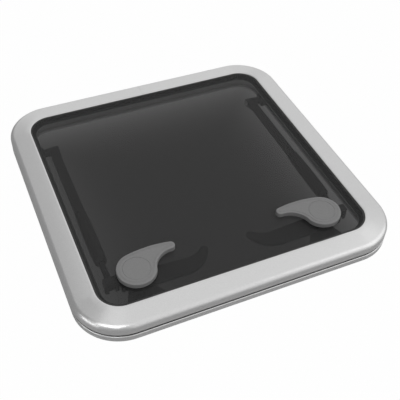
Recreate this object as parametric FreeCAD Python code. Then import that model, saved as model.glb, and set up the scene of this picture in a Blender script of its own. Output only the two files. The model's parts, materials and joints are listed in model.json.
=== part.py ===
"""Low-profile deck hatch: a hinged aluminium lid frame with a tinted lens on a flanged base frame.

Millimetres. The origin is the centre of the base's underside, which seats on the deck. +Z points up,
-Y is the front with the two latch handles, +Y is the hinged rear. The lid is drawn closed.
Every left-hand piece is the mirror image of the right-hand one in the plane X = 0.
"""
import FreeCAD, Part
import math
import os

Vector = FreeCAD.Vector
UP = Vector(0, 0, 1)

# How far a cutter reaches past the face that it opens
OVERSHOOT = 1.0

# Overall plan of the hatch
WIDTH = 580.0
DEPTH = 580.0
CORNER_RADIUS = 82.0

# Base extrusion
BASE_HEIGHT = 11.0
BASE_RIM_WALL = 2.4
BASE_RIM_CHAMFER = 0.9
FLANGE_THICKNESS = 3.5
UPSTAND_INSET = 33.0
UPSTAND_WALL = 3.0
UPSTAND_HEIGHT = 21.0
FOOT_WIDTH = 6.0
FOOT_THICKNESS = 5.0

# Deck screw holes in the flange
SCREW_HOLE_RADIUS = 2.6
SCREW_SINK_RADIUS = 5.0
SCREW_INSET = 17.0
SCREW_END_INSET = 120.0

# Lid extrusion
LID_GAP = 5.3
LID_TOP = 38.0
LID_EDGE_DROP = 3.1
LID_EDGE_RADIUS = 9.0
LID_WALL = 3.2
LID_SKIN = 2.6
LID_FACE_WIDTH = 40.4
LIP_BEVEL_WIDTH = 3.0
LIP_BEVEL_DROP = 1.2
LEDGE_WIDTH = 9.6
LEDGE_THICKNESS = 3.0
WEB_THICKNESS = 3.9
CHAMBER_CORNER = 4.5
BUTT_GAP = 0.3
JOINER_LENGTH = 70.0
JOINER_THICKNESS = 3.0
JOINER_SIDE_PLAY = 2.0

# Seal between lid and base
GASKET_THICKNESS = 4.0
GASKET_WIDTH = 9.0
GASKET_EDGE_TAPER = 1.8
GASKET_INBOARD = 1.0
GASKET_LEG = 1.4
GASKET_LEG_RISE = 0.6
CHANNEL_RISE = 1.5

# Lens and the sealant that beds it
LENS_THICKNESS = 9.0
LENS_JOINT = 3.6
SEALANT_BED = 1.0
SEALANT_SINK = 0.4

# Latch: places shared by both handles
LATCH_SIDE_INSET = 116.3
LATCH_FRONT_INSET = 96.5
SPINDLE_RADIUS = 6.5
SPINDLE_SQUARE = 9.0
RUNNING_CLEARANCE = 0.05
FIT_CLEARANCE = 0.1
MOVING_CLEARANCE = 0.3
BUSH_RADIUS = 9.9
BUSH_FLANGE_RADIUS = 13.5
BUSH_FLANGE_THICKNESS = 0.6
NUT_ACROSS_FLATS = 24.0
NUT_THICKNESS = 4.5
HOUSING_PLATE = 4.5
HOUSING_SKIRT = 5.0
HOUSING_WALL = 2.5
HOUSING_INBOARD = 16.0
HOUSING_FRONT = 17.0
HOUSING_REAR = 19.0
HOUSING_RADIUS = 5.0
SEAL_WASHER_THICKNESS = 0.8
SEAL_WASHER_WIDTH = 4.0

# Outer handle: a disc with a lever that sweeps back to a rounded tip
OUTER_THICKNESS = 9.0
OUTER_DISC_RADIUS = 33.7
OUTER_REACH = 76.8
OUTER_TIP_RADIUS = 7.8
OUTER_TIP_BACK = 26.4
OUTER_REAR_SAGITTA = 3.9
OUTER_THROAT_SAGITTA = -9.5
OUTER_REAR_ANGLE = 101.0
OUTER_THROAT_ANGLE = -21.6
OUTER_TIP_REAR_ANGLE = 82.0
OUTER_TIP_THROAT_ANGLE = -84.0
OUTER_EDGE_RADIUS = 1.2
OUTER_EDGE_ANGLES = (0, 30, 60, 90)
OUTER_SLOPE_DROP = 0.4
OUTER_LINE_INSET = 5.0
OUTER_LINE_WIDTH = 0.5
OUTER_LINE_DEPTH = 0.35
CAP_RADIUS = 23.2
CAP_THICKNESS = 3.0
CAP_EDGE = 0.4

# Inner handle, its cam and the catch that the cam turns under
INNER_THICKNESS = 8.0
INNER_TOP = 17.0
INNER_HUB_RADIUS = 20.0
INNER_HUB_REAR_ANGLE = 65.0
INNER_HUB_FRONT_ANGLE = -70.0
INNER_REACH = 136.0
INNER_REAR_WIDTH = 13.0
INNER_FRONT_WIDTH = 18.8
INNER_TIP_BACK = 20.0
INNER_TIP_RADIUS = 7.0
INNER_TIP_HOOK_ANGLE = 130.0
INNER_TIP_FRONT_ANGLE = -10.0
INNER_CURVE_START = 74.0
INNER_HOOK_START = 98.0
INNER_HOOK_SAGITTA = -2.2
INNER_FRONT_SAGITTA = 13.5
INNER_EDGE = 1.6
CAM_THICKNESS = 3.0
CAM_RADIUS = 50.0
CAM_HUB_RADIUS = 15.0
CAM_COLLAR_HEIGHT = 0.7
CAM_START_ANGLE = -42.0
CAM_END_ANGLE = -128.0
CAM_FLANK_TURN = 60.0
CAM_SCREW_RADIUS = 2.5
CAM_SCREW_LENGTH = 10.0
CAM_SCREW_HEAD_RADIUS = 6.0
CAM_SCREW_HEAD = 3.0
CAM_SCREW_CHAMFER = 1.0
CATCH_WIDTH = 46.0
CATCH_PLATE = 2.4
CATCH_LIP_THICKNESS = 3.0
CATCH_LIP_RADIUS = 2.7
CATCH_LIP_GAP = 0.4
CATCH_REACH = 18.0
CATCH_TOP = 20.0
CATCH_SCREW_SPACING = 30.0
SMALL_SCREW_RADIUS = 1.9
SMALL_HEAD_RADIUS = 3.6
SMALL_HEAD_HEIGHT = 1.7
SCREW_EDGE = 0.6

# Hinges on the rear faces of both frames
HINGE_SIDE_INSET = 120.0
HINGE_LENGTH = 64.0
HINGE_OFFSET = 4.0
HINGE_KNUCKLE_RADIUS = 3.5
HINGE_PIN_RADIUS = 1.6
HINGE_PLATE = 2.5
HINGE_PLATE_GAP = 0.6
HINGE_PLATE_HEIGHT = 8.0
HINGE_SCREW_SPACING = 44.0
HINGE_SCREW_LENGTH = 6.0

# Stays: telescopic arms from the base's side walls to the latch housings
STAY_SIDE_INSET = 72.5
STAY_HEIGHT = 13.0
STAY_REAR_INSET = 120.0
STAY_FRONT_INSET = 102.0
STAY_PIN_RADIUS = 3.5
STAY_PIN_HEAD_RADIUS = 6.5
STAY_PIN_HEAD = 3.0
STAY_PIN_CHAMFER = 1.0
ARM_EYE_RADIUS = 9.0
ARM_EYE_INBOARD = 10.2
ARM_EYE_OUTBOARD = 8.0
ARM_WIDTH = 19.0
ARM_THICKNESS = 3.0
ARM_NECK_LENGTH = 16.0
ARM_NECK_STEP = 1.0
ARM_TIP_RADIUS = 3.0
ARM_END_GAP = 4.5
BRACKET_PLATE = 2.5
BRACKET_LENGTH = 66.0
BRACKET_BOSS_RADIUS = 8.0
BRACKET_BLOCK_LENGTH = 24.0
BRACKET_BLOCK_DEPTH = 15.5
BRACKET_BLOCK_RADIUS = 4.0
BRACKET_TOP_GAP = 0.7
BRACKET_SCREW_SPACING = 50.0
GRIP_TO_PIVOT = 51.0
GRIP_LENGTH = 123.0
GRIP_TAIL_RADIUS = 10.4
GRIP_TAIL_CHAMFER = 0.8
GRIP_TAIL_LENGTH = 14.0
GRIP_SHOULDER_LENGTH = 1.5
GRIP_WIDE_FROM_TAIL = 46.0
GRIP_WIDE_FROM_NOSE = 22.0
GRIP_NOSE_LENGTH = 4.5
GRIP_SHOULDER_RADIUS = 11.0
GRIP_WIDE_RADIUS = 11.7
GRIP_NOSE_RADIUS = 8.0
GRIP_SOCKET_DEPTH = 10.5
SLOT_CLEARANCE = 0.15
ROD_RADIUS = 5.25
ROD_EYE_RADIUS = 7.0
ROD_PIN_RADIUS = 2.5
CLEVIS_GAP = 0.35
CLEVIS_CHEEK = 6.5
CLEVIS_CHAMFER = 1.5
CLEVIS_FRONT = 7.5
CLEVIS_REAR = 8.5
CLEVIS_WEB = 5.5
CLEVIS_DROP = 8.0
PIVOT_SCREW_RADIUS = 3.0
PIVOT_HEAD_RADIUS = 5.0
PIVOT_HEAD = 1.8

# Places that follow from the plan of the hatch
latch_x = WIDTH / 2 - LATCH_SIDE_INSET
latch_y = LATCH_FRONT_INSET - DEPTH / 2
hinge_x = WIDTH / 2 - HINGE_SIDE_INSET
stay_x = WIDTH / 2 - STAY_SIDE_INSET
stay_rear_y = DEPTH / 2 - STAY_REAR_INSET
stay_front_y = STAY_FRONT_INSET - DEPTH / 2
grip_end_y = stay_front_y + GRIP_TO_PIVOT
grip_start_y = grip_end_y + GRIP_LENGTH
seal_line = UPSTAND_INSET + UPSTAND_WALL / 2 + GASKET_INBOARD
front_wall_y = UPSTAND_INSET + UPSTAND_WALL - DEPTH / 2
side_wall_x = WIDTH / 2 - UPSTAND_INSET - UPSTAND_WALL

# Heights that follow from the seats between the pieces
lid_bottom = BASE_HEIGHT + LID_GAP
hinge_height = BASE_HEIGHT + LID_GAP / 2
lid_leaf_bottom = hinge_height + HINGE_KNUCKLE_RADIUS + HINGE_PLATE_GAP
lid_screw_height = lid_leaf_bottom + HINGE_PLATE_HEIGHT / 2
ledge_bottom = UPSTAND_HEIGHT + GASKET_THICKNESS - CHANNEL_RISE
ledge_top = ledge_bottom + LEDGE_THICKNESS
lens_bottom = ledge_top + SEALANT_BED
lens_top = lens_bottom + LENS_THICKNESS
seal_top = lens_top + SEAL_WASHER_THICKNESS
outer_top = seal_top + OUTER_THICKNESS
cap_bottom = outer_top - CAP_THICKNESS
housing_bottom = lens_bottom - HOUSING_PLATE
nut_bottom = housing_bottom - NUT_THICKNESS
inner_bottom = INNER_TOP - INNER_THICKNESS
cam_top = inner_bottom - CAM_COLLAR_HEIGHT
cam_bottom = cam_top - CAM_THICKNESS


def box(x_low, x_high, y_low, y_high, z_low, z_high):
    """Plain block between two corners."""
    return Part.makeBox(x_high - x_low, y_high - y_low, z_high - z_low, Vector(x_low, y_low, z_low))


def rod(radius, start, end):
    """Cylinder from one point to another."""
    along = end - start
    return Part.makeCylinder(radius, along.Length, start, along)


def upright(radius, x, y, z_low, z_high):
    """Vertical cylinder."""
    return rod(radius, Vector(x, y, z_low), Vector(x, y, z_high))


def joined(shapes):
    """One solid from shapes that overlap or share faces."""
    return shapes[0].fuse(shapes[1:]).removeSplitter()


def polar(radius, degrees):
    """Point at an angle from the first axis of a flat outline."""
    turn = math.radians(degrees)
    return (radius * math.cos(turn), radius * math.sin(turn))


def bulge(start, end, sagitta):
    """Arc leg from start to end that stands off its chord to the left by the sagitta."""
    run = (end[0] - start[0], end[1] - start[1])
    length = math.hypot(*run)
    middle = ((start[0] + end[0]) / 2, (start[1] + end[1]) / 2)
    via = (middle[0] - run[1] / length * sagitta, middle[1] + run[0] / length * sagitta)
    return (via, end)


def outline(start, legs):
    """Closed flat wire: each leg is an end point, or a (via, end) pair for an arc."""
    edges = []
    here = start
    for leg in legs:
        if isinstance(leg[0], tuple):
            via, end = leg
            arc = Part.Arc(Vector(*here, 0), Vector(*via, 0), Vector(*end, 0))
            edges.append(arc.toShape())
        else:
            end = leg
            edges.append(Part.LineSegment(Vector(*here, 0), Vector(*end, 0)).toShape())
        here = end
    return Part.Wire(edges)


def raised(wire, z_low, z_high):
    """Solid on a flat outline between two heights."""
    face = Part.Face(wire)
    face.translate(Vector(0, 0, z_low))
    return face.extrude(Vector(0, 0, z_high - z_low))


def upright_edges(block):
    """Vertical edges of a block."""
    return [edge for edge in block.Edges if edge.BoundBox.ZLength > edge.Length / 2]


def rounded_plate(inset, z_low, z_high):
    """Plate with rounded corners, set in from the hatch's outer edge all round."""
    half_x = WIDTH / 2 - inset
    half_y = DEPTH / 2 - inset
    block = box(-half_x, half_x, -half_y, half_y, z_low, z_high)
    return block.makeFillet(CORNER_RADIUS - inset, upright_edges(block))


def section_face(section):
    """Upright face on an outline of (inset, height) points, drawn from the centre of a corner."""
    def flat(point):
        return (CORNER_RADIUS - point[0], point[1])

    start = flat(section[0])
    legs = [tuple(flat(point) for point in leg) if isinstance(leg[0], tuple) else flat(leg)
            for leg in section[1:]]
    face = Part.Face(outline(start, legs + [start]))
    face.rotate(Vector(0, 0, 0), Vector(1, 0, 0), 90)
    return face


def frame_ring(section):
    """Closed frame: the section runs along the four sides and round the corners between them."""
    face = section_face(section)
    centre_x = WIDTH / 2 - CORNER_RADIUS
    centre_y = DEPTH / 2 - CORNER_RADIUS
    corners = [(centre_x, centre_y), (-centre_x, centre_y), (-centre_x, -centre_y), (centre_x, -centre_y)]
    runs = [2 * centre_x, 2 * centre_y, 2 * centre_x, 2 * centre_y]
    pieces = []
    for turn, (corner, run) in enumerate(zip(corners, runs)):
        centre = Vector(*corner, 0)
        bend = face.copy()
        bend.rotate(Vector(0, 0, 0), UP, 90 * turn)
        bend.translate(centre)
        pieces.append(bend.revolve(centre, UP, 90))
        side = face.copy()
        side.rotate(Vector(0, 0, 0), UP, 90 * (turn + 1))
        side.translate(centre)
        along = FreeCAD.Rotation(UP, 90 * turn).multVec(Vector(-run, 0, 0))
        pieces.append(side.extrude(along))
    return joined(pieces)


def mirrored(shape):
    """Left-hand twin of a right-hand piece."""
    return shape.mirror(Vector(0, 0, 0), Vector(1, 0, 0))


def small_screw(tip, towards, length):
    """Countersunk screw: its head lies flush at the end away from the tip."""
    along = Vector(towards)
    along.normalize()
    start = tip + along * (length - SMALL_HEAD_HEIGHT)
    shank = Part.makeCylinder(SMALL_SCREW_RADIUS, length - SMALL_HEAD_HEIGHT, tip, along)
    head = Part.makeCone(SMALL_SCREW_RADIUS, SMALL_HEAD_RADIUS, SMALL_HEAD_HEIGHT, start, along)
    return joined([shank, head])


def save(name, shape):
    shape.exportStep(os.path.join("parts", name + ".step"))


def save_pair(name, right):
    save(name + "_right", right)
    save(name + "_left", mirrored(right))


# Base frame


def base_section():
    """Flange on the deck, rim that shows outside, upstand that meets the seal and foot inside it."""
    upstand_inner = UPSTAND_INSET + UPSTAND_WALL
    foot_inner = upstand_inner + FOOT_WIDTH
    return [
        (foot_inner, 0),
        (0, 0),
        (0, BASE_HEIGHT - BASE_RIM_CHAMFER),
        (BASE_RIM_CHAMFER, BASE_HEIGHT),
        (BASE_RIM_WALL, BASE_HEIGHT),
        (BASE_RIM_WALL, FLANGE_THICKNESS),
        (UPSTAND_INSET, FLANGE_THICKNESS),
        (UPSTAND_INSET, UPSTAND_HEIGHT),
        (upstand_inner, UPSTAND_HEIGHT),
        (upstand_inner, FOOT_THICKNESS),
        (foot_inner, FOOT_THICKNESS),
    ]


def deck_screw_places():
    """Three screws along each side of the flange."""
    x_line = WIDTH / 2 - SCREW_INSET
    y_line = DEPTH / 2 - SCREW_INSET
    x_step = WIDTH / 2 - SCREW_END_INSET
    y_step = DEPTH / 2 - SCREW_END_INSET
    places = []
    for sign in (-1, 1):
        places += [(sign * x_line, step) for step in (-y_step, 0, y_step)]
        places += [(step, sign * y_line) for step in (-x_step, 0, x_step)]
    return places


def base_frame():
    holes = []
    sink = SCREW_SINK_RADIUS - SCREW_HOLE_RADIUS
    for x, y in deck_screw_places():
        holes.append(upright(SCREW_HOLE_RADIUS, x, y, -OVERSHOOT, FLANGE_THICKNESS + OVERSHOOT))
        low = Vector(x, y, FLANGE_THICKNESS - sink)
        holes.append(Part.makeCone(SCREW_HOLE_RADIUS, SCREW_SINK_RADIUS, sink, low, UP))
    holes += hinge_screw_holes(BASE_HEIGHT / 2)
    holes += wall_screw_holes()
    return frame_ring(base_section()).cut(holes)


# Lid frame, lens and seals


def lid_section():
    """Outer skin of the lid extrusion: sloped face, lip round the lens, ledge below it and seal channel."""
    lens_line = LID_FACE_WIDTH
    bevel_line = lens_line - LIP_BEVEL_WIDTH
    groove_outer = seal_line - GASKET_WIDTH / 2
    groove_inner = seal_line + GASKET_WIDTH / 2
    groove_top = UPSTAND_HEIGHT + GASKET_THICKNESS
    leg_bottom = UPSTAND_HEIGHT + GASKET_LEG_RISE
    edge_top = LID_TOP - LID_EDGE_DROP
    edge_start = edge_top - LID_EDGE_RADIUS
    across, rise = polar(LID_EDGE_RADIUS, 45)
    return [
        (0, edge_start),
        ((LID_EDGE_RADIUS - across, edge_start + rise), (LID_EDGE_RADIUS, edge_top)),
        (bevel_line, LID_TOP),
        (lens_line, LID_TOP - LIP_BEVEL_DROP),
        (lens_line, ledge_top),
        (lens_line + LEDGE_WIDTH, ledge_top),
        (lens_line + LEDGE_WIDTH, ledge_bottom),
        (groove_inner + GASKET_LEG, ledge_bottom),
        (groove_inner + GASKET_LEG, leg_bottom),
        (groove_inner, leg_bottom),
        (groove_inner, groove_top),
        (groove_outer, groove_top),
        (groove_outer, leg_bottom),
        (groove_outer - GASKET_LEG, leg_bottom),
        (groove_outer - GASKET_LEG, ledge_bottom),
        (LID_WALL, ledge_bottom),
        (LID_WALL, lid_bottom),
        (0, lid_bottom),
    ]


def chamber_bounds():
    """Insets of the hollow chamber's outer and inner walls, and the height of its floor."""
    return LID_WALL, LID_FACE_WIDTH - LIP_BEVEL_WIDTH, ledge_bottom + WEB_THICKNESS


def chamber_section():
    """Hollow of the lid extrusion."""
    outer, inner, floor = chamber_bounds()
    edge_top = LID_TOP - LID_EDGE_DROP - LID_SKIN
    slope = LID_EDGE_DROP / (inner - LID_EDGE_RADIUS)
    return [
        (outer, floor),
        (inner, floor),
        (inner, LID_TOP - LID_SKIN),
        (outer + CHAMBER_CORNER, edge_top + slope * CHAMBER_CORNER),
        (outer, edge_top - CHAMBER_CORNER / 2),
    ]


def lid_frame():
    ring = frame_ring(lid_section()).cut(frame_ring(chamber_section()))
    rear = DEPTH / 2
    half = BUTT_GAP / 2
    joint = box(-half, half, rear - 2 * LID_FACE_WIDTH, rear + OVERSHOOT, 0, LID_TOP + OVERSHOOT)
    return ring.cut([joint] + hinge_screw_holes(lid_screw_height))


def lid_joiner():
    """Flat bar inside the chamber that ties the two ends of the bent extrusion."""
    outer, inner, floor = chamber_bounds()
    rear = DEPTH / 2
    y_low = rear - inner + JOINER_SIDE_PLAY
    y_high = rear - outer - JOINER_SIDE_PLAY
    half = JOINER_LENGTH / 2
    return box(-half, half, y_low, y_high, floor, floor + JOINER_THICKNESS)


def lens():
    plate = rounded_plate(LID_FACE_WIDTH + LENS_JOINT, lens_bottom, lens_top)
    hole_radius = BUSH_RADIUS + FIT_CLEARANCE
    holes = [upright(hole_radius, x, latch_y, 0, LID_TOP) for x in (-latch_x, latch_x)]
    return plate.cut(holes)


def lens_sealant():
    """Bed on the ledge and the joint between the lens edge and the lip."""
    lens_line = LID_FACE_WIDTH
    return frame_ring([
        (lens_line, lens_top - SEALANT_SINK),
        (lens_line, ledge_top),
        (lens_line + LEDGE_WIDTH, ledge_top),
        (lens_line + LEDGE_WIDTH, lens_bottom),
        (lens_line + LENS_JOINT, lens_bottom),
        (lens_line + LENS_JOINT, lens_top - SEALANT_SINK),
    ])


def lid_gasket():
    outer = seal_line - GASKET_WIDTH / 2
    inner = seal_line + GASKET_WIDTH / 2
    return frame_ring([
        (outer, UPSTAND_HEIGHT + GASKET_THICKNESS),
        (outer, UPSTAND_HEIGHT + GASKET_EDGE_TAPER),
        (outer + GASKET_EDGE_TAPER, UPSTAND_HEIGHT),
        (inner - GASKET_EDGE_TAPER, UPSTAND_HEIGHT),
        (inner, UPSTAND_HEIGHT + GASKET_EDGE_TAPER),
        (inner, UPSTAND_HEIGHT + GASKET_THICKNESS),
    ])


# Hinges


def hinge_screw_places():
    """X places of the screws in one pair of leaves on each side."""
    half = HINGE_SCREW_SPACING / 2
    return [side * hinge_x + step for side in (-1, 1) for step in (-half, half)]


def hinge_screws(height):
    outer = DEPTH / 2 + HINGE_PLATE
    places = hinge_screw_places()
    tips = [Vector(x, outer - HINGE_SCREW_LENGTH, height) for x in places]
    return [small_screw(tip, Vector(0, 1, 0), HINGE_SCREW_LENGTH) for tip in tips]


def hinge_screw_holes(height):
    rear = DEPTH / 2 + HINGE_PLATE
    radius = SMALL_SCREW_RADIUS
    depth = HINGE_SCREW_LENGTH
    return [
        rod(radius, Vector(x, rear - depth, height), Vector(x, rear, height))
        for x in hinge_screw_places()
    ]


def hinge_knuckles():
    """X spans of the three knuckles of the right-hand hinge, from end to end."""
    third = HINGE_LENGTH / 3
    low = hinge_x - HINGE_LENGTH / 2
    gap = MOVING_CLEARANCE / 2
    return [
        (low, low + third - gap),
        (low + third + gap, low + 2 * third - gap),
        (low + 2 * third + gap, low + HINGE_LENGTH),
    ]


def hinge_leaf(z_low, z_high, spans, bore):
    """Plate on the frame's rear face with a lug to each of its knuckles."""
    rear = DEPTH / 2
    axis_y = rear + HINGE_OFFSET
    half = HINGE_LENGTH / 2
    pieces = [box(hinge_x - half, hinge_x + half, rear, rear + HINGE_PLATE, z_low, z_high)]
    holes = []
    for low, high in spans:
        start = Vector(low, axis_y, hinge_height)
        end = Vector(high, axis_y, hinge_height)
        pieces.append(rod(HINGE_KNUCKLE_RADIUS, start, end))
        lug_low = min(z_low, hinge_height)
        lug_high = max(z_high, hinge_height)
        lug_front = axis_y - HINGE_KNUCKLE_RADIUS
        pieces.append(box(low, high, lug_front, rear + HINGE_PLATE, lug_low, lug_high))
        holes.append(rod(bore, start, end))
    screws = hinge_screws(lid_screw_height) + hinge_screws(BASE_HEIGHT / 2)
    return joined(pieces).cut(holes + screws)


def hinge_leaf_base():
    low, _, high = hinge_knuckles()
    top = hinge_height - HINGE_KNUCKLE_RADIUS - HINGE_PLATE_GAP
    bottom = BASE_HEIGHT / 2 - (top - BASE_HEIGHT / 2)
    return hinge_leaf(bottom, top, [low, high], HINGE_PIN_RADIUS)


def hinge_leaf_lid():
    _, middle, _ = hinge_knuckles()
    bore = HINGE_PIN_RADIUS + RUNNING_CLEARANCE
    return hinge_leaf(lid_leaf_bottom, lid_leaf_bottom + HINGE_PLATE_HEIGHT, [middle], bore)


def hinge_pin():
    axis_y = DEPTH / 2 + HINGE_OFFSET
    half = HINGE_LENGTH / 2
    start = Vector(hinge_x - half, axis_y, hinge_height)
    return rod(HINGE_PIN_RADIUS, start, start + Vector(HINGE_LENGTH, 0, 0))


# Latches


def latch_placed(wire):
    """Outline drawn as (towards the middle, towards the rear) from the spindle, set on the right side."""
    placed = wire.mirror(Vector(0, 0, 0), Vector(1, 0, 0))
    placed.translate(Vector(latch_x, latch_y, 0))
    return placed


def square_shank(z_low, z_high):
    half = SPINDLE_SQUARE / 2
    return box(latch_x - half, latch_x + half, latch_y - half, latch_y + half, z_low, z_high)


def latch_bevel(draw, start, end):
    """Tapered layer of a handle between two outlines, each given by its inset and its height."""
    wires = []
    for inset, height in (start, end):
        wire = latch_placed(draw(inset))
        wire.translate(Vector(0, 0, height))
        wires.append(wire)
    return Part.makeLoft(wires, True, True)


def latch_layers(draw, steps):
    """Tapered layers of a handle from each (inset, height) to the next."""
    return [latch_bevel(draw, start, end) for start, end in zip(steps, steps[1:])]


def outer_handle_outline(inset=0.0):
    """Disc, bowed rear edge, round tip and hollow throat back to the disc."""
    disc = OUTER_DISC_RADIUS - inset
    tip = OUTER_TIP_RADIUS - inset
    tip_centre = (OUTER_REACH - OUTER_TIP_RADIUS, OUTER_TIP_BACK)
    throat_end = polar(disc, OUTER_THROAT_ANGLE)
    rear_start = polar(disc, OUTER_REAR_ANGLE)
    disc_angle = (OUTER_THROAT_ANGLE + OUTER_REAR_ANGLE - 360) / 2
    rear_end = tuple(c + p for c, p in zip(tip_centre, polar(tip, OUTER_TIP_REAR_ANGLE)))
    tip_side = tuple(c + p for c, p in zip(tip_centre, polar(tip, 0)))
    throat_start = tuple(c + p for c, p in zip(tip_centre, polar(tip, OUTER_TIP_THROAT_ANGLE)))
    return outline(throat_end, [
        (polar(disc, disc_angle), rear_start),
        bulge(rear_start, rear_end, OUTER_REAR_SAGITTA),
        (tip_side, throat_start),
        bulge(throat_start, throat_end, OUTER_THROAT_SAGITTA),
    ])


def outer_handle():
    """Rounded rim, gentle slope up to an engraved line, and a flat top with the recess of the cap."""
    radius = OUTER_EDGE_RADIUS
    rim_top = outer_top - OUTER_SLOPE_DROP - radius
    side = raised(latch_placed(outer_handle_outline()), seal_top, rim_top)
    rim = [polar(radius, angle) for angle in OUTER_EDGE_ANGLES]
    steps = [(radius - across, rim_top + rise) for across, rise in rim]
    steps.append((OUTER_LINE_INSET, outer_top))
    layers = latch_layers(outer_handle_outline, steps)
    line_bottom = outer_top - OUTER_LINE_DEPTH
    line_top = outer_top + OVERSHOOT
    inside = outer_handle_outline(OUTER_LINE_INSET + OUTER_LINE_WIDTH)
    line = raised(latch_placed(outer_handle_outline(OUTER_LINE_INSET)), line_bottom, line_top)
    line = line.cut(raised(latch_placed(inside), line_bottom, line_top))
    recess = upright(CAP_RADIUS + FIT_CLEARANCE, latch_x, latch_y, cap_bottom, line_top)
    shank = square_shank(seal_top - OVERSHOOT, cap_bottom + OVERSHOOT)
    return joined([side] + layers).cut([line, recess, shank])


def handle_cap():
    disc = upright(CAP_RADIUS, latch_x, latch_y, cap_bottom, outer_top)
    rim = [edge for edge in disc.Edges if edge.BoundBox.ZMin > cap_bottom]
    return disc.makeChamfer(CAP_EDGE, rim)


def spindle():
    """Round where it turns in the bush, square in both handles and the cam."""
    shaft = upright(SPINDLE_RADIUS, latch_x, latch_y, INNER_TOP, seal_top)
    square = square_shank(cam_bottom, cap_bottom)
    thread_bottom = cam_bottom - OVERSHOOT
    thread = upright(CAM_SCREW_RADIUS, latch_x, latch_y, thread_bottom, cam_bottom + CAM_SCREW_LENGTH)
    return joined([shaft, square]).cut(thread)


def spindle_bush():
    """Flanged sleeve through the lens that the spindle turns in."""
    sleeve = upright(BUSH_RADIUS, latch_x, latch_y, nut_bottom, lens_top)
    flange = upright(BUSH_FLANGE_RADIUS, latch_x, latch_y, lens_top, lens_top + BUSH_FLANGE_THICKNESS)
    bore = upright(SPINDLE_RADIUS + RUNNING_CLEARANCE, latch_x, latch_y, 0, outer_top)
    return joined([sleeve, flange]).cut(bore)


def bush_nut():
    """Thin hexagon nut that clamps the housing and the bush to the lens."""
    corner = NUT_ACROSS_FLATS / math.sqrt(3)
    points = [polar(corner, 30 + 60 * step) for step in range(6)]
    wire = latch_placed(outline(points[0], points[1:] + points[:1]))
    nut = raised(wire, nut_bottom, housing_bottom)
    return nut.cut(upright(BUSH_RADIUS, latch_x, latch_y, 0, LID_TOP))


def handle_washer():
    """Rubber ring between the outer handle and the lens."""
    inner = BUSH_FLANGE_RADIUS + MOVING_CLEARANCE
    ring = upright(inner + SEAL_WASHER_WIDTH, latch_x, latch_y, lens_top, seal_top)
    return ring.cut(upright(inner, latch_x, latch_y, lens_top - OVERSHOOT, seal_top + OVERSHOOT))


def inner_handle_outline(inset=0.0):
    """Round hub and a broad lever whose end curls towards the rear."""
    hub = INNER_HUB_RADIUS - inset
    tip = INNER_TIP_RADIUS - inset
    hub_rear = polar(hub, INNER_HUB_REAR_ANGLE)
    hub_front = polar(hub, INNER_HUB_FRONT_ANGLE)
    hook_start = (INNER_HOOK_START, INNER_REAR_WIDTH - inset)
    tip_centre = (INNER_REACH - INNER_TIP_RADIUS, INNER_TIP_BACK)
    tip_angle = (INNER_TIP_HOOK_ANGLE + INNER_TIP_FRONT_ANGLE) / 2
    hook_end = tuple(c + p for c, p in zip(tip_centre, polar(tip, INNER_TIP_HOOK_ANGLE)))
    tip_rear = tuple(c + p for c, p in zip(tip_centre, polar(tip, tip_angle)))
    tip_end = tuple(c + p for c, p in zip(tip_centre, polar(tip, INNER_TIP_FRONT_ANGLE)))
    front_start = (INNER_CURVE_START, inset - INNER_FRONT_WIDTH)
    return outline(hub_front, [
        ((-hub, 0), hub_rear),
        hook_start,
        bulge(hook_start, hook_end, INNER_HOOK_SAGITTA),
        (tip_rear, tip_end),
        bulge(tip_end, front_start, INNER_FRONT_SAGITTA),
        hub_front,
    ])


def inner_handle():
    low = inner_bottom + INNER_EDGE
    high = INNER_TOP - INNER_EDGE
    side = raised(latch_placed(inner_handle_outline()), low, high)
    bevels = [
        latch_bevel(inner_handle_outline, (0, low), (INNER_EDGE, inner_bottom)),
        latch_bevel(inner_handle_outline, (0, high), (INNER_EDGE, INNER_TOP)),
    ]
    return joined([side] + bevels).cut(square_shank(inner_bottom - OVERSHOOT, INNER_TOP + OVERSHOOT))


def latch_cam():
    """Fan-shaped plate that turns under the catch."""
    hub = CAM_HUB_RADIUS
    start = polar(CAM_RADIUS, CAM_START_ANGLE)
    end = polar(CAM_RADIUS, CAM_END_ANGLE)
    middle_angle = (CAM_START_ANGLE + CAM_END_ANGLE) / 2
    middle = polar(CAM_RADIUS, middle_angle)
    hub_start = polar(hub, CAM_START_ANGLE + CAM_FLANK_TURN)
    hub_end = polar(hub, CAM_END_ANGLE - CAM_FLANK_TURN)
    hub_rear = polar(hub, middle_angle + 180)
    wire = outline(hub_start, [start, (middle, end), hub_end, (hub_rear, hub_start)])
    plate = raised(latch_placed(wire), cam_bottom, cam_top)
    collar = upright(hub, latch_x, latch_y, cam_top, inner_bottom)
    return joined([plate, collar]).cut(square_shank(cam_bottom - OVERSHOOT, inner_bottom + OVERSHOOT))


def cam_screw():
    head = upright(CAM_SCREW_HEAD_RADIUS, latch_x, latch_y, cam_bottom - CAM_SCREW_HEAD, cam_bottom)
    low_rim = [edge for edge in head.Edges if edge.BoundBox.ZMax < cam_bottom - CAM_SCREW_HEAD / 2]
    head = head.makeChamfer(CAM_SCREW_CHAMFER, low_rim)
    shank = upright(CAM_SCREW_RADIUS, latch_x, latch_y, cam_bottom, cam_bottom + CAM_SCREW_LENGTH)
    return joined([head, shank])


def clevis_bounds():
    """X faces of the clevis: inner and outer side of each cheek."""
    gap = ROD_RADIUS + CLEVIS_GAP
    return stay_x - gap - CLEVIS_CHEEK, stay_x - gap, stay_x + gap, stay_x + gap + CLEVIS_CHEEK


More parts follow.
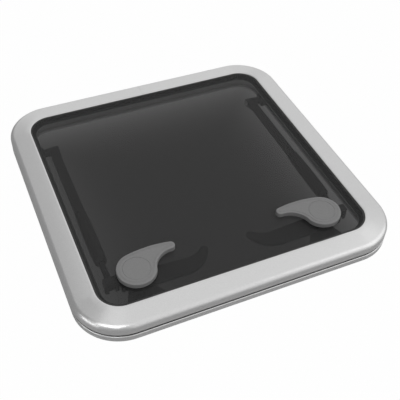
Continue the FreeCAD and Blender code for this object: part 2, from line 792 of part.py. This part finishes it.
def handle_housing():
    """Moulding clamped under the lens: a shallow tray round the bush and the clevis of the stay."""
    cheek_in, gap_in, gap_out, cheek_out = clevis_bounds()
    x_low = latch_x - HOUSING_INBOARD
    y_low = latch_y - HOUSING_FRONT
    y_high = latch_y + HOUSING_REAR
    skirt_bottom = lens_bottom - HOUSING_PLATE - HOUSING_SKIRT
    tray = box(x_low, cheek_in, y_low, y_high, skirt_bottom, lens_bottom)
    corners = [edge for edge in upright_edges(tray) if edge.BoundBox.Center.x < latch_x]
    tray = tray.makeFillet(HOUSING_RADIUS, corners)
    wall = HOUSING_WALL
    hollow = box(x_low + wall, cheek_in - wall, y_low + wall, y_high - wall, 0, housing_bottom)
    hollow = hollow.makeFillet(HOUSING_RADIUS - wall, upright_edges(hollow))
    front = stay_front_y - CLEVIS_FRONT
    rear = stay_front_y + CLEVIS_REAR
    bottom = STAY_HEIGHT - CLEVIS_DROP
    block = box(cheek_in, cheek_out, front, rear, bottom, lens_bottom)
    outer_corners = [edge for edge in upright_edges(block) if edge.BoundBox.Center.x > stay_x]
    block = block.makeChamfer(CLEVIS_CHAMFER, outer_corners)
    web_bottom = lens_bottom - CLEVIS_WEB
    throat = box(gap_in, gap_out, front - OVERSHOOT, rear + OVERSHOOT, bottom - OVERSHOOT, web_bottom)
    bore = upright(BUSH_RADIUS + FIT_CLEARANCE, latch_x, latch_y, 0, LID_TOP)
    body = joined([tray.cut(hollow), block])
    return body.cut([throat, bore, stay_pivot_screw()])


def latch_catch():
    """Angle on the base's front wall whose lip the cam turns under."""
    wall_y = front_wall_y
    x_low = latch_x - CATCH_WIDTH / 2
    x_high = latch_x + CATCH_WIDTH / 2
    lip_low = cam_top + CATCH_LIP_GAP
    lip_high = lip_low + CATCH_LIP_THICKNESS
    plate = box(x_low, x_high, wall_y, wall_y + CATCH_PLATE, FOOT_THICKNESS, CATCH_TOP)
    lip = box(x_low, x_high, wall_y, wall_y + CATCH_REACH, lip_low, lip_high)
    nose = [edge for edge in upright_edges(lip) if edge.BoundBox.Center.y > wall_y + CATCH_PLATE]
    lip = lip.makeFillet(CATCH_LIP_RADIUS, nose)
    return joined([plate, lip]).cut(catch_screws())


def catch_screws():
    """Two countersunk screws through the catch into the wall."""
    height = CATCH_TOP - SMALL_HEAD_RADIUS - SCREW_EDGE
    length = UPSTAND_WALL + CATCH_PLATE
    screws = []
    for step in (-CATCH_SCREW_SPACING / 2, CATCH_SCREW_SPACING / 2):
        tip = Vector(latch_x + step, front_wall_y - UPSTAND_WALL, height)
        screws.append(small_screw(tip, Vector(0, 1, 0), length))
    return screws


# Stays


def bracket_screws():
    """Two countersunk screws through the stay bracket into the side wall."""
    length = UPSTAND_WALL + BRACKET_PLATE
    screws = []
    for step in (-BRACKET_SCREW_SPACING / 2, BRACKET_SCREW_SPACING / 2):
        tip = Vector(side_wall_x + UPSTAND_WALL, stay_rear_y + step, STAY_HEIGHT)
        screws.append(small_screw(tip, Vector(-1, 0, 0), length))
    return screws


def wall_screw_holes():
    """Holes in the upstand for the screws of the catches and the stay brackets."""
    screws = catch_screws() + bracket_screws()
    return screws + [mirrored(screw) for screw in screws]


def stay_bracket():
    plate_x = side_wall_x - BRACKET_PLATE
    half = BRACKET_LENGTH / 2
    top = UPSTAND_HEIGHT - BRACKET_TOP_GAP
    plate = box(plate_x, side_wall_x, stay_rear_y - half, stay_rear_y + half, FOOT_THICKNESS, top)
    half = BRACKET_BLOCK_LENGTH / 2
    block_x = plate_x - BRACKET_BLOCK_DEPTH
    block = box(block_x, plate_x, stay_rear_y - half, stay_rear_y + half, FOOT_THICKNESS, top)
    middle_x = (block_x + plate_x) / 2
    corners = [edge for edge in upright_edges(block) if edge.BoundBox.Center.x < middle_x]
    block = block.makeFillet(BRACKET_BLOCK_RADIUS, corners)
    boss_end = stay_x + ARM_EYE_OUTBOARD + MOVING_CLEARANCE
    boss = rod(
        BRACKET_BOSS_RADIUS,
        Vector(boss_end, stay_rear_y, STAY_HEIGHT),
        Vector(plate_x, stay_rear_y, STAY_HEIGHT),
    )
    return joined([plate, block, boss]).cut(bracket_screws() + [stay_pivot_pin()])


def stay_pivot_pin():
    """Shoulder pin through the arm's eye into the bracket."""
    head_out = stay_x - ARM_EYE_INBOARD - MOVING_CLEARANCE
    centre = Vector(0, stay_rear_y, STAY_HEIGHT)
    pin_end = side_wall_x - BRACKET_PLATE - STAY_PIN_HEAD
    shank = rod(STAY_PIN_RADIUS, centre + Vector(head_out, 0, 0), centre + Vector(pin_end, 0, 0))
    head_in = head_out - STAY_PIN_HEAD
    head = rod(STAY_PIN_HEAD_RADIUS, centre + Vector(head_in, 0, 0), centre + Vector(head_out, 0, 0))
    rim = [edge for edge in head.Edges if edge.BoundBox.XMax < (head_in + head_out) / 2]
    return joined([head.makeChamfer(STAY_PIN_CHAMFER, rim), shank])


def stay_arm():
    """Eye on the rear pivot and the flat bar that slides into the grip."""
    centre = Vector(stay_x, stay_rear_y, STAY_HEIGHT)
    start = centre - Vector(ARM_EYE_INBOARD, 0, 0)
    end = centre + Vector(ARM_EYE_OUTBOARD, 0, 0)
    eye = rod(ARM_EYE_RADIUS, start, end)
    neck_y = stay_rear_y - ARM_NECK_LENGTH
    half = ARM_THICKNESS / 2
    bar_end = grip_end_y + GRIP_SOCKET_DEPTH + ARM_END_GAP
    low = STAY_HEIGHT - half
    high = STAY_HEIGHT + half
    bar = box(stay_x - ARM_WIDTH / 2, stay_x + ARM_WIDTH / 2, bar_end, neck_y, low, high)
    tips = [edge for edge in upright_edges(bar) if edge.BoundBox.Center.y < grip_start_y]
    bar = bar.makeFillet(ARM_TIP_RADIUS, tips)
    neck_half = ARM_EYE_RADIUS - ARM_NECK_STEP
    neck_end = neck_y - ARM_NECK_LENGTH / 2
    corners = [
        Vector(start.x, stay_rear_y, STAY_HEIGHT - neck_half),
        Vector(start.x, stay_rear_y, STAY_HEIGHT + neck_half),
        Vector(start.x, neck_end, high),
        Vector(start.x, neck_end, low),
    ]
    neck = Part.Face(Part.makePolygon(corners + corners[:1])).extrude(end - start)
    past = Vector(OVERSHOOT, 0, 0)
    bore = rod(STAY_PIN_RADIUS + RUNNING_CLEARANCE, start - past, end + past)
    return joined([eye, neck, bar]).cut(bore)


def stay_grip():
    """Turned grip whose slot takes the flat bar; the rod is fixed in its front end."""
    profile = [
        (0, 0),
        (GRIP_TAIL_RADIUS - GRIP_TAIL_CHAMFER, 0),
        (GRIP_TAIL_RADIUS, GRIP_TAIL_CHAMFER),
        (GRIP_TAIL_RADIUS, GRIP_TAIL_LENGTH),
        (GRIP_SHOULDER_RADIUS, GRIP_TAIL_LENGTH + GRIP_SHOULDER_LENGTH),
        (GRIP_WIDE_RADIUS, GRIP_WIDE_FROM_TAIL),
        (GRIP_WIDE_RADIUS, GRIP_LENGTH - GRIP_WIDE_FROM_NOSE),
        (GRIP_SHOULDER_RADIUS, GRIP_LENGTH - GRIP_NOSE_LENGTH),
        (GRIP_NOSE_RADIUS, GRIP_LENGTH),
        (0, GRIP_LENGTH),
    ]
    points = [Vector(stay_x + radius, grip_start_y - along, STAY_HEIGHT) for radius, along in profile]
    face = Part.Face(Part.makePolygon(points + points[:1]))
    centre = Vector(stay_x, grip_start_y, STAY_HEIGHT)
    body = face.revolve(centre, Vector(0, 1, 0), 360)
    half_width = ARM_WIDTH / 2 + SLOT_CLEARANCE
    half_thick = ARM_THICKNESS / 2 + SLOT_CLEARANCE
    slot_end = grip_end_y + GRIP_SOCKET_DEPTH + ARM_END_GAP / 2
    slot = box(
        stay_x - half_width,
        stay_x + half_width,
        slot_end,
        grip_start_y + OVERSHOOT,
        STAY_HEIGHT - half_thick,
        STAY_HEIGHT + half_thick,
    )
    socket_mouth = Vector(stay_x, grip_end_y - OVERSHOOT, STAY_HEIGHT)
    socket_end = Vector(stay_x, grip_end_y + GRIP_SOCKET_DEPTH, STAY_HEIGHT)
    socket = rod(ROD_RADIUS, socket_mouth, socket_end)
    return body.cut([slot, socket])


def stay_rod_end():
    """Round rod with an eye that enters the clevis."""
    start = Vector(stay_x, grip_end_y + GRIP_SOCKET_DEPTH, STAY_HEIGHT)
    centre = Vector(stay_x, stay_front_y, STAY_HEIGHT)
    shank = rod(ROD_RADIUS, start, centre + Vector(0, ROD_EYE_RADIUS / 2, 0))
    side = Vector(ROD_RADIUS, 0, 0)
    eye = rod(ROD_EYE_RADIUS, centre - side, centre + side)
    bore = rod(ROD_PIN_RADIUS, centre - side * 2, centre + side * 2)
    return joined([shank, eye]).cut(bore)


def stay_cross_pin():
    """Pin in the rod's eye, flush with both of its sides."""
    centre = Vector(stay_x, stay_front_y, STAY_HEIGHT)
    side = Vector(ROD_RADIUS, 0, 0)
    return rod(ROD_PIN_RADIUS, centre - side, centre + side)


def stay_pivot_screw():
    """Screw through the clevis's outer cheek."""
    _, _, gap_out, cheek_out = clevis_bounds()
    centre = Vector(0, stay_front_y, STAY_HEIGHT)
    shank = rod(PIVOT_SCREW_RADIUS, centre + Vector(gap_out, 0, 0), centre + Vector(cheek_out, 0, 0))
    face = Vector(cheek_out, 0, 0)
    head = rod(PIVOT_HEAD_RADIUS, centre + face, centre + face + Vector(PIVOT_HEAD, 0, 0))
    return joined([shank, head])


os.makedirs("parts", exist_ok=True)

save("base_frame", base_frame())
save("lid_frame", lid_frame())
save("lid_joiner", lid_joiner())
save("lens", lens())
save("lens_sealant", lens_sealant())
save("lid_gasket", lid_gasket())
save("hinge_screws_base", Part.makeCompound(hinge_screws(BASE_HEIGHT / 2)))
save("hinge_screws_lid", Part.makeCompound(hinge_screws(lid_screw_height)))
save_pair("hinge_leaf_base", hinge_leaf_base())
save_pair("hinge_leaf_lid", hinge_leaf_lid())
save_pair("hinge_pin", hinge_pin())
save_pair("outer_handle", outer_handle())
save_pair("handle_cap", handle_cap())
save_pair("spindle", spindle())
save_pair("spindle_bush", spindle_bush())
save_pair("bush_nut", bush_nut())
save_pair("handle_washer", handle_washer())
save_pair("handle_housing", handle_housing())
save_pair("inner_handle", inner_handle())
save_pair("latch_cam", latch_cam())
save_pair("cam_screw", cam_screw())
save_pair("latch_catch", latch_catch())
save_pair("catch_screws", Part.makeCompound(catch_screws()))
save_pair("stay_bracket", stay_bracket())
save_pair("bracket_screws", Part.makeCompound(bracket_screws()))
save_pair("stay_pivot_pin", stay_pivot_pin())
save_pair("stay_arm", stay_arm())
save_pair("stay_grip", stay_grip())
save_pair("stay_rod_end", stay_rod_end())
save_pair("stay_cross_pin", stay_cross_pin())
save_pair("stay_pivot_screw", stay_pivot_screw())
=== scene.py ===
"""Looks of the square aluminium deck hatch: materials, edges, light and the photograph's camera."""

import json
import math

import bpy
from mathutils import Matrix, Vector

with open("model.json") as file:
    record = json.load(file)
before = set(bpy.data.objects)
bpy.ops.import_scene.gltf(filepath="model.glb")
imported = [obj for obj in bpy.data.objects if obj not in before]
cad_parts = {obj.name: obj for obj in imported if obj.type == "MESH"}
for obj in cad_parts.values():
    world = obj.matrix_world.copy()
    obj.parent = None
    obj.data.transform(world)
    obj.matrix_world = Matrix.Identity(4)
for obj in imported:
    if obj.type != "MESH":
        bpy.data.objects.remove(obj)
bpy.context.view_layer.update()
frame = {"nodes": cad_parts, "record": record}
scene = bpy.context.scene

# Camera, as solved from the hatch's square outline in the photograph; degrees, metres,
# and millimetres for lens and sensor
CAMERA_AZIMUTH = 25.197
CAMERA_ELEVATION = 45.586
CAMERA_ROLL = 2.389
CAMERA_DISTANCE = 1.22912
CAMERA_TARGET = Vector((-0.01106, -0.07748, 0.032))
CAMERA_LENS = 61.003
CAMERA_SENSOR = 36.0
CAMERA_NEAR = 0.05
CAMERA_FAR = 100

# Softboxes that face the hatch: place, width, height and power
LAMPS = {
    "key": ((1.8, -0.84, 1.34), 2.2, 2.2, 7.3),
    "fill": ((-0.96, -0.96, 1.97), 1.4, 1.4, 16.5),
    "streak": ((-1.8, -0.5, 0.4), 1.1, 0.5, 4.6),
}

# Sky: it brightens from left to right, seen from the front, and a little towards the viewer
SKY_LOW = 0.05
SKY_HIGH = 0.95
SKY_LOW_AT = -0.16
SKY_HIGH_AT = 0.1
FRONT_RISE = 0.1
REAR_AT = 0.2
FRONT_AT = -0.2

# Surroundings: the share of their white that a mirrored ray sees, and the pale floor
SKY_IN_GLOSS = 0.35
FLOOR_IN_GLOSS = 0.15
FLOOR_SIZE = 12.0
FLOOR_SHADE = 0.34
FLOOR_SHADOW_SHARE = 0.012
FLOOR_ROUGHNESS = 0.9

# Floor inside the deck's opening: its own glow is painted shade in the middle and painted light
# along the edges that the light reaches
OPENING_HALF = 0.25
INSIDE_LEVEL = -0.002
INSIDE_SHADE = 0.16
INSIDE_PAINTED_SHADE = 0.045
INSIDE_PAINTED_LIGHT_RISE = 0.2
INSIDE_REACH = 0.23
INSIDE_STEEPNESS = 4
LEFT_SHARE = 0.5

# Plan of the bent extrusions, and their die lines, which follow sides and corners
FRAME_HALF = 0.29
CORNER_RADIUS = 0.082
LINE_STRETCH = 0.85
LINE_TURN = 0.25

# Noise: its octaves, and the range that most of its values lie in
NOISE_DETAIL = 4.0
NOISE_ROUGHNESS = 0.6
NOISE_LOW = 0.3
NOISE_HIGH = 0.7

# Colour sockets of the Mix node
MIX_FACTOR, MIX_FIRST, MIX_SECOND, MIX_RESULT = 0, 6, 7, 2

# Materials of the CAD nodes. shade: grey of the base colour. tones: cells per metre, darkest and
# lightest grey. roughness: cells per metre, lowest and highest. bump: cells per metre, strength
# and depth. edge: width of the edge break. Lengths in metres.
LOOKS = {
    "anodised_aluminium": dict(
        shade=0.64, tones=(700, 0.595, 0.675), roughness=(140, 0.30, 0.36),
        bump=(1800, 0.12, 0.00005), edge=0.0003, metallic=1.0, drawn=True),
    "mill_aluminium": dict(
        shade=0.6, tones=(60, 0.5, 0.62), roughness=(90, 0.35, 0.5),
        bump=(700, 0.2, 0.0001), metallic=1.0),
    "tinted_lens": dict(
        shade=0.035, roughness=(30, 0.02, 0.035),
        bump=(3, 0.005, 0.0001), edge=0.0003, ior=1.25, alpha=0.5),
    "black_sealant": dict(
        shade=0.015, tones=(120, 0.010, 0.020), roughness=(90, 0.5, 0.7),
        bump=(260, 0.3, 0.0002)),
    "black_rubber": dict(
        shade=0.018, tones=(200, 0.013, 0.024), roughness=(150, 0.6, 0.8),
        bump=(1200, 0.3, 0.0001)),
    "grey_plastic": dict(
        shade=0.19, tones=(300, 0.178, 0.198), roughness=(200, 0.48, 0.58),
        bump=(2200, 0.2, 0.00008), edge=0.0006),
    "black_plastic": dict(
        shade=0.015, tones=(300, 0.011, 0.019), roughness=(200, 0.42, 0.55),
        bump=(2200, 0.3, 0.0001), edge=0.0005),
    "black_arm": dict(
        shade=0.02, tones=(300, 0.016, 0.026), roughness=(120, 0.34, 0.44),
        bump=(2600, 0.2, 0.00006), edge=0.0004, metallic=0.4),
    "stainless_steel": dict(
        shade=0.58, tones=(500, 0.54, 0.62), roughness=(400, 0.2, 0.3),
        bump=(3000, 0.15, 0.00004), metallic=1.0),
}

# Edges of the CAD nodes
SHARP_ANGLE = math.radians(31)
WELD_DISTANCE = 1e-6
BREAK_SEGMENTS = 2
NORMALS_WEIGHT = 100


# Shader nodes


def feed(tree, socket, value):
    """Links a node's output to a socket, or sets the socket to a value."""
    if isinstance(value, bpy.types.NodeSocket):
        tree.links.new(value, socket)
    else:
        socket.default_value = value


def add_node(tree, kind, inputs=None, **settings):
    """Adds a shader node with its settings; inputs gives values or outputs by name or number."""
    node = tree.nodes.new(kind)
    for name, value in settings.items():
        setattr(node, name, value)
    for key, value in (inputs or {}).items():
        feed(tree, node.inputs[key], value)
    return node


def math_node(tree, kind, operation, *values):
    """First output of a math node of this kind, with the values as its inputs in order."""
    return add_node(tree, kind, dict(enumerate(values)), operation=operation).outputs[0]


def calculate(tree, operation, *values):
    return math_node(tree, "ShaderNodeMath", operation, *values)


def calculate_vector(tree, operation, *values):
    return math_node(tree, "ShaderNodeVectorMath", operation, *values)


def coordinates(tree, kind):
    return add_node(tree, "ShaderNodeTexCoord").outputs[kind]


def axes(tree, vector):
    """X, Y and Z of a vector."""
    return add_node(tree, "ShaderNodeSeparateXYZ", {0: vector}).outputs


def spread(tree, value, start, end, low, high):
    """Straight change of a value, from low at start to high at end."""
    inputs = {"Value": value, "From Min": start, "From Max": end, "To Min": low, "To Max": high}
    return add_node(tree, "ShaderNodeMapRange", inputs).outputs["Result"]


def mixed(tree, share, first, second):
    """Second surface by its share, and the first by the rest."""
    return add_node(tree, "ShaderNodeMixShader", {0: share, 1: first, 2: second}).outputs[0]


def object_noise(tree, scale):
    """Noise that sits in the object's own space; scale is in cells per metre."""
    inputs = {"Vector": coordinates(tree, "Object"), "Scale": scale,
              "Detail": NOISE_DETAIL, "Roughness": NOISE_ROUGHNESS}
    return add_node(tree, "ShaderNodeTexNoise", inputs).outputs["Fac"]


def noise_between(tree, scale, low, high):
    return spread(tree, object_noise(tree, scale), NOISE_LOW, NOISE_HIGH, low, high)


def backdrop_share(tree, in_gloss):
    """1 for a ray from the camera or through the lens, and a smaller share for a mirrored ray."""
    rays = add_node(tree, "ShaderNodeLightPath").outputs
    direct = calculate(tree, "MAXIMUM", rays["Is Camera Ray"], rays["Is Transmission Ray"])
    mirrored = calculate(tree, "MULTIPLY", rays["Is Glossy Ray"], in_gloss)
    return calculate(tree, "MAXIMUM", direct, mirrored)


# Materials of the CAD nodes


def grey(value):
    return (value, value, value, 1)


def principled(name, shade, metallic=0.0, ior=1.5, alpha=1.0):
    """Material with one Principled shader, its node tree and that shader."""
    material = bpy.data.materials.new(name)
    material.use_nodes = True
    tree = material.node_tree
    shader = tree.nodes["Principled BSDF"]
    constants = {"Base Color": grey(shade), "Metallic": metallic, "IOR": ior, "Alpha": alpha}
    for socket, value in constants.items():
        shader.inputs[socket].default_value = value
    return material, tree, shader


def run_of_frame(tree):
    """Direction along the frame's sides and round its corners, from the object's own space."""
    place = coordinates(tree, "Object")
    centre = FRAME_HALF - CORNER_RADIUS
    above = calculate_vector(tree, "MAXIMUM", place, (-centre, -centre, 0))
    inner = calculate_vector(tree, "MINIMUM", above, (centre, centre, 0))
    outward = calculate_vector(tree, "SUBTRACT", place, inner)
    run = calculate_vector(tree, "CROSS_PRODUCT", outward, (0, 0, 1))
    return calculate_vector(tree, "NORMALIZE", run)


def make_material(name, shade, roughness, bump, tones=None, drawn=False, **constants):
    """One material of LOOKS; a drawn metal has die lines along the frame."""
    material, tree, shader = principled(name, shade, **constants)
    if drawn:
        shader.inputs["Anisotropic"].default_value = LINE_STRETCH
        shader.inputs["Anisotropic Rotation"].default_value = LINE_TURN
        feed(tree, shader.inputs["Tangent"], run_of_frame(tree))
    if tones:
        scale, dark, light = tones
        inputs = {MIX_FACTOR: noise_between(tree, scale, 0, 1),
                  MIX_FIRST: grey(dark), MIX_SECOND: grey(light)}
        mix = add_node(tree, "ShaderNodeMix", inputs, data_type="RGBA")
        feed(tree, shader.inputs["Base Color"], mix.outputs[MIX_RESULT])
    feed(tree, shader.inputs["Roughness"], noise_between(tree, *roughness))
    scale, strength, depth = bump
    inputs = {"Height": object_noise(tree, scale), "Strength": strength, "Distance": depth}
    relief = add_node(tree, "ShaderNodeBump", inputs)
    feed(tree, shader.inputs["Normal"], relief.outputs["Normal"])
    if constants.get("alpha", 1) < 1:
        material.surface_render_method = "BLENDED"
    return material


def dress(thing, material, edge):
    """Gives a CAD node its material, smooth curved faces and slightly broken edges."""
    mesh = thing.data
    mesh.materials.clear()
    mesh.materials.append(material)
    mesh.polygons.foreach_set("use_smooth", [True] * len(mesh.polygons))
    weld = thing.modifiers.new("weld", "WELD")
    weld.merge_threshold = WELD_DISTANCE
    if not edge:
        split = thing.modifiers.new("split", "EDGE_SPLIT")
        split.split_angle = SHARP_ANGLE
        return
    bevel = thing.modifiers.new("edge", "BEVEL")
    bevel.width = edge
    bevel.segments = BREAK_SEGMENTS
    bevel.limit_method = "ANGLE"
    bevel.angle_limit = SHARP_ANGLE
    bevel.use_clamp_overlap = True
    normals = thing.modifiers.new("normals", "WEIGHTED_NORMAL")
    normals.weight = NORMALS_WEIGHT


def dress_all():
    materials = {}
    edges = {}
    for name, look in LOOKS.items():
        settings = dict(look)
        edges[name] = settings.pop("edge", None)
        materials[name] = make_material(name, **settings)
    for part in frame["record"]["subparts"]:
        slot = part["material_slot"]
        dress(frame["nodes"][part["node"]], materials[slot], edges[slot])


# Surroundings


def make_world():
    """Grey sky that brightens towards +X and -Y, and a white backdrop round the hatch."""
    world = bpy.data.worlds.new("studio")
    scene.world = world
    world.use_nodes = True
    tree = world.node_tree
    sides = axes(tree, coordinates(tree, "Generated"))
    across = spread(tree, sides["X"], SKY_LOW_AT, SKY_HIGH_AT, SKY_LOW, SKY_HIGH)
    forward = spread(tree, sides["Y"], REAR_AT, FRONT_AT, 1, 1 + FRONT_RISE)
    sky = tree.nodes["Background"]
    feed(tree, sky.inputs["Color"], grey(1))
    feed(tree, sky.inputs["Strength"], calculate(tree, "MULTIPLY", across, forward))
    backdrop = add_node(tree, "ShaderNodeBackground", {"Color": grey(1), "Strength": 1.0})
    surface = mixed(tree, backdrop_share(tree, SKY_IN_GLOSS), sky.outputs[0], backdrop.outputs[0])
    feed(tree, tree.nodes["World Output"].inputs["Surface"], surface)


def matt(name, shade):
    """Matt material of one shade, its node tree and its shader."""
    material, tree, shader = principled(name, shade)
    shader.inputs["Roughness"].default_value = FLOOR_ROUGHNESS
    return material, tree, shader


def show_from_above(tree, shader, share, strength):
    """Mixes a shader with its own light by a share, and lets a view from below pass through."""
    shine = add_node(tree, "ShaderNodeEmission", {"Strength": strength}).outputs[0]
    top = mixed(tree, share, shader.outputs[0], shine)
    below = add_node(tree, "ShaderNodeNewGeometry").outputs["Backfacing"]
    clear = add_node(tree, "ShaderNodeBsdfTransparent").outputs[0]
    feed(tree, tree.nodes["Material Output"].inputs["Surface"], mixed(tree, below, top, clear))


def pale_floor():
    """Floor that is white to the camera, but for a small share that keeps the hatch's shadow."""
    material, tree, shader = matt("pale_floor", FLOOR_SHADE)
    share = backdrop_share(tree, FLOOR_IN_GLOSS)
    white = calculate(tree, "MULTIPLY", share, 1 - FLOOR_SHADOW_SHARE)
    show_from_above(tree, shader, white, 1.0)
    return material


def painted_edge_light(tree, place, edge, share):
    """Share of painted light that rises steeply towards an edge of the opening, on one axis."""
    start = edge - math.copysign(INSIDE_REACH, edge)
    reach = spread(tree, place, start, edge, 0, 1)
    steep = calculate(tree, "POWER", reach, INSIDE_STEEPNESS)
    return calculate(tree, "MULTIPLY", steep, share)


def inside_floor():
    """Floor under the lens that glows with painted shade in the middle and painted light towards
    the rear, right and left edges of the opening.
    """
    material, tree, shader = matt("inside_floor", INSIDE_SHADE)
    place = axes(tree, coordinates(tree, "Object"))
    right = painted_edge_light(tree, place["X"], OPENING_HALF, 1)
    left = painted_edge_light(tree, place["X"], -OPENING_HALF, LEFT_SHARE)
    rear = painted_edge_light(tree, place["Y"], OPENING_HALF, 1)
    edges = calculate(tree, "MAXIMUM", calculate(tree, "MAXIMUM", right, left), rear)
    # Painted light and shade: a faint glow in the middle and a brighter glow near the edges, set by
    # position
    strength = calculate(tree, "MULTIPLY_ADD", edges, INSIDE_PAINTED_LIGHT_RISE, INSIDE_PAINTED_SHADE)
    show_from_above(tree, shader, backdrop_share(tree, 1), strength)
    return material


def square(half, level):
    """Corners of a level square round the middle of the hatch."""
    return [(x * half, y * half, level) for x, y in ((-1, -1), (1, -1), (1, 1), (-1, 1))]


def staged(name, vertices, faces, material):
    mesh = bpy.data.meshes.new(name)
    mesh.from_pydata(vertices, [], faces)
    mesh.materials.append(material)
    thing = bpy.data.objects.new(name, mesh)
    scene.collection.objects.link(thing)


def make_floor():
    """Floor round the opening, and a shallow tray in the opening."""
    rim = square(OPENING_HALF, 0)
    ring = [(k, (k + 1) % 4, 4 + (k + 1) % 4, 4 + k) for k in range(4)]
    bottom = (4, 5, 6, 7)
    staged("floor", square(FLOOR_SIZE / 2, 0) + rim, ring, pale_floor())
    staged("inside", rim + square(OPENING_HALF, INSIDE_LEVEL), ring + [bottom], inside_floor())


def make_lights():
    for name, (place, width, height, power) in LAMPS.items():
        data = bpy.data.lights.new(name, "AREA")
        data.shape = "RECTANGLE"
        data.size = width
        data.size_y = height
        data.energy = power
        lamp = bpy.data.objects.new(name, data)
        scene.collection.objects.link(lamp)
        lamp.location = place
        lamp.rotation_mode = "QUATERNION"
        lamp.rotation_quaternion = (-Vector(place)).to_track_quat("-Z", "Y")


def make_camera():
    azimuth = math.radians(CAMERA_AZIMUTH)
    elevation = math.radians(CAMERA_ELEVATION)
    roll = math.radians(CAMERA_ROLL)
    back = Vector((
        -math.sin(azimuth) * math.cos(elevation),
        -math.cos(azimuth) * math.cos(elevation),
        math.sin(elevation),
    ))
    right = Vector((math.cos(azimuth), -math.sin(azimuth), 0))
    up = back.cross(right)
    rolled_right = math.cos(roll) * right + math.sin(roll) * up
    rolled_up = math.cos(roll) * up - math.sin(roll) * right
    data = bpy.data.cameras.new("camera")
    data.lens = CAMERA_LENS
    data.sensor_width = CAMERA_SENSOR
    data.clip_start = CAMERA_NEAR
    data.clip_end = CAMERA_FAR
    camera = bpy.data.objects.new("camera", data)
    scene.collection.objects.link(camera)
    turn = Matrix((rolled_right, rolled_up, back)).transposed().to_4x4()
    place = CAMERA_TARGET + back * CAMERA_DISTANCE
    camera.matrix_world = Matrix.Translation(place) @ turn
    scene.camera = camera


dress_all()
make_world()
make_floor()
make_lights()
make_camera()
scene.view_settings.view_transform = "Standard"
